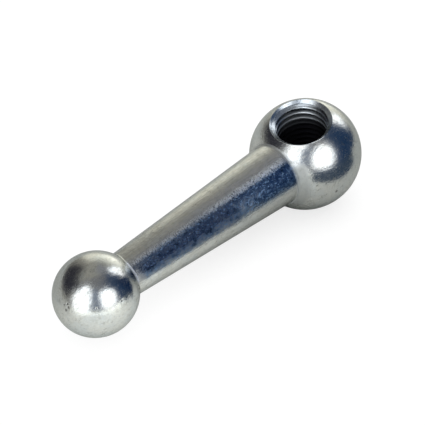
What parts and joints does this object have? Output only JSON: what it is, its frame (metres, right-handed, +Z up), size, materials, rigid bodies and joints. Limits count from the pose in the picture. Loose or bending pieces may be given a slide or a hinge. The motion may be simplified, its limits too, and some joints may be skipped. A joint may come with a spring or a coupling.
{
  "type": "clamping lever",
  "caption": "One-piece steel clamping lever with a ball hub, an oblique tapped through hole, a tapered shaft and a ball knob, for tightening a clamp screw by hand.",
  "frame": {"origin": "on the table, below the middle of the part's length and width, as it lies at rest", "axes": "+X along the lever from the hub to the knob, +Z up from the table, +Y across the lever"},
  "size_m": [0.0998, 0.032, 0.0304],
  "materials": {
    "zinc_plated_steel": "turned steel, bright zinc plated, with fine turning marks and a few small pits"
  },
  "bodies": {
    "root": {"clamping_lever": "zinc_plated_steel"}
  },
  "joints": []
}
